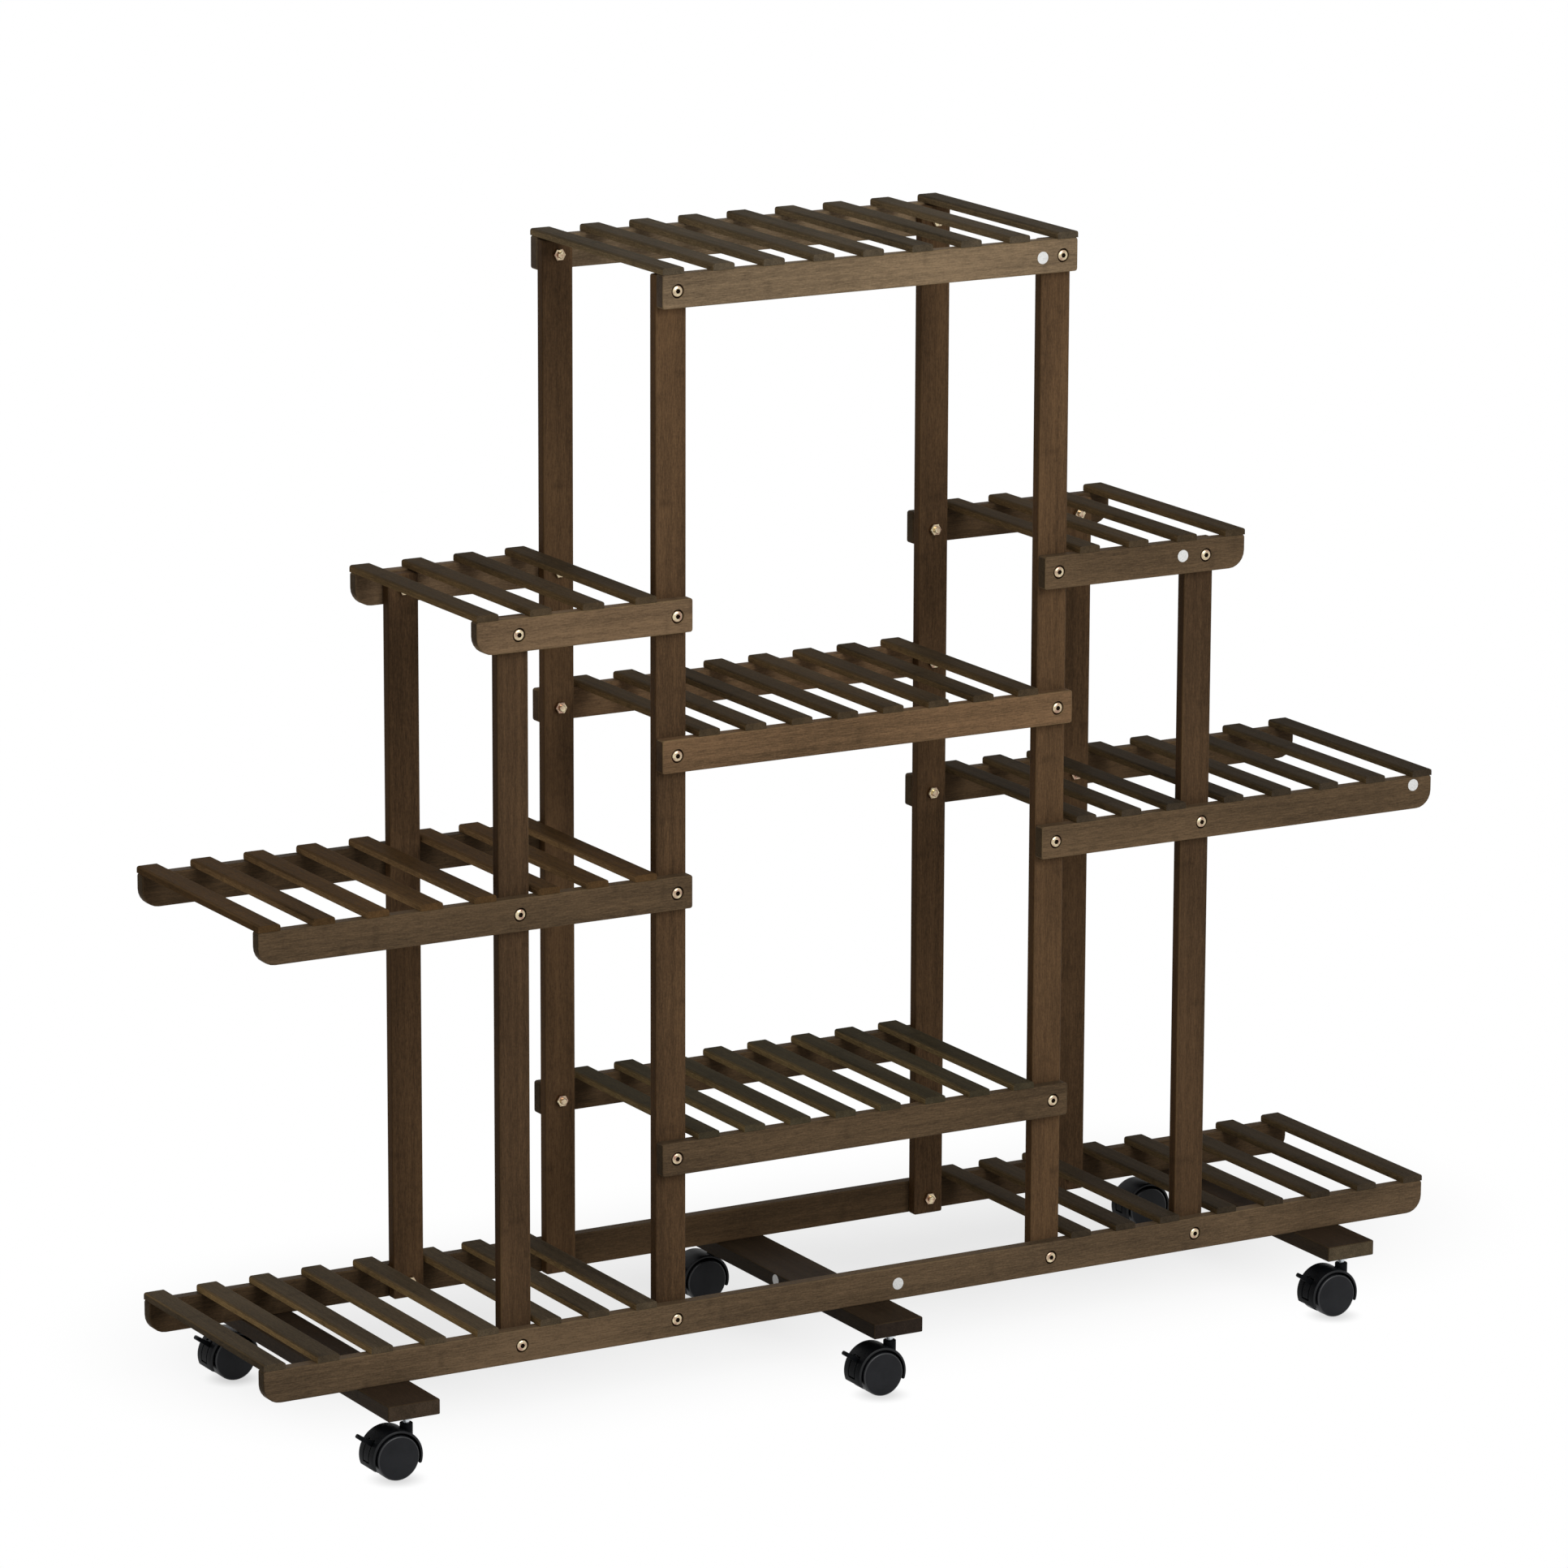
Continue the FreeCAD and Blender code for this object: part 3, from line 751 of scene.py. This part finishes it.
def new_tree(name, sizes):
    """An empty geometry tree with points in, a mesh out and named sizes in millimetres."""
    tree = bpy.data.node_groups.new(name, "GeometryNodeTree")
    tree.interface.new_socket("Points", in_out="INPUT", socket_type="NodeSocketGeometry")
    for label in sizes:
        tree.interface.new_socket(label, in_out="INPUT", socket_type="NodeSocketFloat")
    tree.interface.new_socket("Mesh", in_out="OUTPUT", socket_type="NodeSocketGeometry")
    return tree, add(tree, "NodeGroupInput").outputs


def grow(name, points, tree, sizes, stands_for=None):
    """Run a tree on points in millimetres, keep the result as a plain mesh and fix it to the frame."""
    mesh = bpy.data.meshes.new(name + "_points")
    mesh.from_pydata([Vector(point) * MM for point in points], [], [])
    piece = put_in_scene(name, mesh)
    modifier = piece.modifiers.new("grow", "NODES")
    modifier.node_group = tree
    for socket in tree.interface.items_tree:
        if socket.name in sizes:
            modifier[socket.identifier] = sizes[socket.name] * MM
    graph = bpy.context.evaluated_depsgraph_get()
    made = bpy.data.meshes.new_from_object(piece.evaluated_get(graph))
    piece.modifiers.remove(modifier)
    piece.data = made
    shade_rounds(made)
    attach(piece, "frame")
    if stands_for:
        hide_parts(stands_for)
    return piece


def halved(tree, socket):
    return maths(tree, "MULTIPLY", socket, 0.5)


def rounded_disc(tree, sides, radius, height, steps):
    """A cylinder on the XY plane whose top is drawn in by steps of rise and scale."""
    start = add(tree, "GeometryNodeMeshCylinder", {"fill_type": "NGON"}, {
        "Vertices": sides, "Radius": radius, "Depth": height})
    shape, top = start.outputs["Mesh"], start.outputs["Top"]
    for rise, scale in steps:
        drawn = add(tree, "GeometryNodeExtrudeMesh", {"mode": "FACES"}, {
            "Mesh": shape, "Selection": top, "Offset": (0, 0, 1), "Offset Scale": rise * MM})
        top = drawn.outputs["Top"]
        shape = add(tree, "GeometryNodeScaleElements", {"domain": "FACE"}, {
            "Geometry": drawn.outputs["Mesh"], "Selection": top, "Scale": scale}).outputs[0]
    return shape


def joined(tree, shapes):
    together = add(tree, "GeometryNodeJoinGeometry")
    for shape in reversed(shapes):
        tree.links.new(shape, together.inputs[0])
    return together.outputs[0]


def set_on_points(tree, entry, shape, material, tilt=0, rear_row=False):
    """Instance a finished shape on the points, add the rear row if asked, and close the tree."""
    placed = add(tree, "GeometryNodeInstanceOnPoints", inputs={
        "Points": entry["Points"], "Instance": shape, "Rotation": (math.radians(tilt), 0, 0)})
    result = placed.outputs[0]
    if rear_row:
        rear = add(tree, "GeometryNodeTransform", inputs={
            "Geometry": result, "Rotation": (0, 0, math.radians(180))})
        result = joined(tree, [result, rear.outputs[0]])
    real = add(tree, "GeometryNodeRealizeInstances", inputs={0: result})
    painted = add(tree, "GeometryNodeSetMaterial", inputs={
        "Geometry": real.outputs[0], "Material": material})
    add(tree, "NodeGroupOutput", inputs={0: painted.outputs[0]})


def slat_tree(material):
    """Slats swept along Y from a profile whose upper corners are rounded."""
    sizes = {"Slat width": 21.0, "Slat height": 6.0, "Slat length": 242.0, "Edge radius": 2.2}
    tree, entry = new_tree("slat_row", sizes)
    profile = add(tree, "GeometryNodeCurvePrimitiveQuadrilateral", inputs={
        "Width": entry["Slat width"], "Height": entry["Slat height"]})
    # the sweep turns the profile over, so its lower corners become the upper edges
    place = add(tree, "GeometryNodeInputPosition")
    lower = maths(tree, "LESS_THAN", parted(tree, place.outputs[0])["Y"], 0.0)
    radius = maths(tree, "MULTIPLY", lower, entry["Edge radius"])
    eased = add(tree, "GeometryNodeFilletCurve", {"mode": "POLY"}, {
        "Curve": profile.outputs[0], "Count": 4, "Radius": radius})
    reach = halved(tree, entry["Slat length"])
    front = add(tree, "ShaderNodeCombineXYZ", inputs={"Y": maths(tree, "MULTIPLY", reach, -1.0)})
    rear = add(tree, "ShaderNodeCombineXYZ", inputs={"Y": reach})
    path = add(tree, "GeometryNodeCurvePrimitiveLine", inputs={
        "Start": front.outputs[0], "End": rear.outputs[0]})
    slat = add(tree, "GeometryNodeCurveToMesh", inputs={
        "Curve": path.outputs[0], "Profile Curve": eased.outputs[0], "Fill Caps": True})
    set_on_points(tree, entry, slat.outputs[0], material)
    return tree, sizes


def lay_slats(looks):
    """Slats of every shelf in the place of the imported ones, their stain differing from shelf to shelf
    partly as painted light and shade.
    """
    trees = {look: slat_tree(material) for look, material in looks.items() if look.endswith("slat")}
    stains_and_shading = {
        "top": "pale_slat",
        "mid_left": "warm_slat",
        "base_left": "amber_slat",
        "lower_centre": "olive_slat",
        "mid_right": "dark_slat",
        "base_right": "dark_slat",
    }
    for shelf, rows in SLAT_ROWS.items():
        name = shelf + "_slats"
        tree, sizes = trees[stains_and_shading.get(shelf, "middle_slat")]
        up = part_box(name)[0].z / MM + sizes["Slat height"] / 2
        points = []
        for start, end, count in rows:
            pitch = (end - start - sizes["Slat width"]) / (count - 1)
            first = start + sizes["Slat width"] / 2
            points += [(first + pitch * number, 0, up) for number in range(count)]
        piece = grow("rounded_" + name, points, tree, sizes, name)
        shade_flats(piece.data)


def bolt_heads(zinc, recess_shade):
    """Domed heads with a hexagon socket, each sunk in its counterbore over a nearly black disc of painted
    shade.
    """
    sizes = {"Head width": 10.4, "Head height": 0.8, "Socket width": 4.6, "Socket depth": 5.0}
    tree, entry = new_tree("bolt_head_row", sizes)
    dome = [(0.5, 0.94), (0.4, 0.88), (0.25, 0.82), (0.15, 0.76)]
    head = rounded_disc(tree, 28, halved(tree, entry["Head width"]), entry["Head height"], dome)
    top = sizes["Head height"] / 2 + sum(rise for rise, scale in dome)
    key = add(tree, "GeometryNodeMeshCylinder", {"fill_type": "NGON"}, {
        "Vertices": 6, "Radius": halved(tree, entry["Socket width"]), "Depth": entry["Socket depth"]})
    raised = add(tree, "GeometryNodeTransform", inputs={
        "Geometry": key.outputs["Mesh"], "Translation": (0, 0, top * MM)})
    holed = add(tree, "GeometryNodeMeshBoolean", {"operation": "DIFFERENCE", "solver": "EXACT"}, {
        "Mesh 1": head, "Mesh 2": raised.outputs[0]})
    set_on_points(tree, entry, holed.outputs["Mesh"], zinc, 90, True)
    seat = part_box("base_front_rail")[0].y / MM + COUNTERBORE_DEEP - sizes["Head height"] / 2
    grow("bolt_heads", bolt_places(seat), tree, sizes)

    # painted shade: a nearly black disc on each counterbore's floor, which also shows black through the
    # hexagon socket
    sizes = {"Bottom width": 2 * COUNTERBORE - 0.1, "Bottom height": 0.3}
    tree, entry = new_tree("counterbore_shade_disc_row", sizes)
    bottom = rounded_disc(tree, 28, halved(tree, entry["Bottom width"]), entry["Bottom height"], [])
    set_on_points(tree, entry, bottom, recess_shade, 90, True)
    grow("counterbore_shade_discs", bolt_places(seat + 0.3), tree, sizes)


def bolt_nuts(zinc):
    """Hexagon nuts with the bolt ends standing out of them, on the inner faces of the posts."""
    sizes = {"Nut width": 11.5, "Nut height": 8.0, "Bolt width": 6.0, "Bolt height": 13.0}
    tree, entry = new_tree("bolt_nut_row", sizes)
    nut = rounded_disc(tree, 6, halved(tree, entry["Nut width"]), entry["Nut height"], [(0.6, 0.9)])
    end = rounded_disc(tree, 16, halved(tree, entry["Bolt width"]), entry["Bolt height"], [(0.6, 0.82)])
    set_on_points(tree, entry, joined(tree, [nut, end]), zinc, -90, True)
    places = bolt_places(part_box("front_inner_left_post")[1].y / MM)
    grow("bolt_nuts", places, tree, sizes)


def caster_stems(zinc):
    """Plated stems: round pin in the boss, hexagon collar under the beam, threaded end in it."""
    sizes = {"Pin width": 6.0, "Pin height": 18.0, "Collar width": 12.6, "Collar height": 3.6,
             "Thread width": 8.0, "Thread height": 10.0}
    tree, entry = new_tree("stem_set", sizes)
    shapes = []
    # sides of each part, height of its middle above the floor, and the ease of its top
    parts = [("Pin", 20, 40.8, []), ("Collar", 6, 51.6, [(0.5, 0.92)]), ("Thread", 20, 59.0, [])]
    for label, sides, middle, steps in parts:
        radius = halved(tree, entry[label + " width"])
        shape = rounded_disc(tree, sides, radius, entry[label + " height"], steps)
        lifted = add(tree, "GeometryNodeTransform", inputs={
            "Geometry": shape, "Translation": (0, 0, middle * MM)})
        shapes.append(lifted.outputs[0])
    set_on_points(tree, entry, joined(tree, shapes), zinc)
    points = [place / MM for place in CASTERS.values()]
    grow("plated_caster_stems", points, tree, sizes, "caster_stems")


# Labels and looks

# a label's profile, places on the front rails (X, Z) and on the centre beam (Y, Z), in millimetres
LABEL_PROFILE = [(0, 0.0), (5.5, 0.0), (5.5, 0.08), (5.2, 0.16), (0, 0.16)]
RAIL_LABELS = [(172.7, 1003.5), (324.0, 720.7), (579.7, 479.8), (32.1, 82.6)]
BEAM_LABEL = (0.8, 61.5)


def paper_labels(paper):
    """Small round paper labels, bare, with a softly lifted edge: on the rails and on one beam."""
    rail_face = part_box("base_front_rail")[0].y
    beam_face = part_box("centre_beam")[0].x
    places = [(Vector((x * MM, rail_face, z * MM)), 180) for x, z in RAIL_LABELS]
    places.append((Vector((beam_face, BEAM_LABEL[0] * MM, BEAM_LABEL[1] * MM)), 90))
    shape = bmesh.new()
    for place, turn in places:
        disc = turned("label", LABEL_PROFILE, 32)
        spin = Matrix.Rotation(math.radians(turn), 4, "Z")
        disc.data.transform(Matrix.Translation(place) @ spin)
        shape.from_mesh(disc.data)
        bpy.data.objects.remove(disc)
    mesh = bpy.data.meshes.new("paper_labels")
    shape.to_mesh(mesh)
    shape.free()
    shade_rounds(mesh)
    mesh.materials.append(paper)
    piece = put_in_scene("paper_labels", mesh)
    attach(piece, "frame")


def board_stains_and_shading():
    """The stain differs from board to board, partly as painted light and shade; slats are paler on their
    sawn sides than on top, partly from the stain and partly as painted light.
    """
    worn = "#85704f"
    # direction of the grain, stain, colour of the sides, worn edges, and colour of the ends; all colours
    # but the worn edges hold painted light and shade as well as stain
    stains_and_shading = {
        "pale_rail": ("x", "#75634d", "#56483a", worn, None),
        "middle_rail": ("x", "#6a5641", "#4a3c2c", worn, None),
        "warm_rail": ("x", "#6b543d", "#4a3928", worn, None),
        "dark_rail": ("x", "#5b4a37", "#443726", "#78654a", None),
        "base_rail": ("x", "#5f4e3b", "#443726", "#7a674c", None),
        "rear_rail": ("x", "#4c3c2b", "#443726", "#6b583f", None),
        "post": ("z", "#58432f", "#513b25", "#6f573c", None),
        "outer_post": ("z", "#4d3b2a", "#453220", "#6a5439", None),
        "left_beam": ("y", "#3a2e23", "#3b3229", "#55462f", "#42372c"),
        "centre_beam": ("y", "#382d22", "#2f2820", "#55462f", "#302822"),
        "right_beam": ("y", "#352a20", "#3a3025", "#55462f", "#524737"),
    }
    looks = {}
    for name, (axis, stain, side, edge, end) in stains_and_shading.items():
        looks[name] = stained_bamboo("bamboo_" + name, axis, stain, side, edge, end)
    # stain of the tops and of the sawn sides, each partly painted light and shade; the sides of the end
    # slats farther out than 598 mm keep the top's colour as painted shade
    slats = {
        "pale_slat": ("#52483a", "#77654a"),
        "middle_slat": ("#483c2d", "#6c573a"),
        "warm_slat": ("#503c26", "#7d6242"),
        "amber_slat": ("#504536", "#8a714c"),
        "olive_slat": ("#423b2d", "#7f6b49"),
        "dark_slat": ("#40372c", "#5f4e35"),
    }
    for name, (stain, side) in slats.items():
        looks[name] = stained_bamboo("bamboo_" + name, "y", stain, side, side, outer=598, gloss=0.002)
    return looks


place_camera()
light_world()
add_lamp("front_softbox", (0.4, -3.5, 2.3), (0, 0, 0.55), 2.2, 80)
add_lamp("rear_fill", (0, 3.5, 0.6), (0, 0, 0.55), 2.2, 24)
lay_floor()
board_looks = board_stains_and_shading()
dress_boards(board_looks)
lay_slats(board_looks)
hood_nylon = black_nylon("hood_black_nylon", "#0b0c0e", "#131416", gloss=0.03, rim_gloss=0.2,
                         rim=(13.3, 14.5))
wheel_nylon = black_nylon("wheel_black_nylon", "#121316", "#1a1b1e", gloss=0.15, rim_gloss=0.42,
                          rim=(14.2, 15.45))
dress_casters({"hood": hood_nylon, "wheels": wheel_nylon, "brake": hood_nylon})
yellow_zinc = plated_steel("yellow_zinc_steel", "#d6c8a6", "#a28270", 0.2)
bolt_heads(yellow_zinc, painted_recess_shade())
bolt_nuts(yellow_zinc)
caster_stems(plated_steel("bright_zinc_steel", "#d5d9dc", "#b4babf", 0.28))
paper_labels(white_paper())
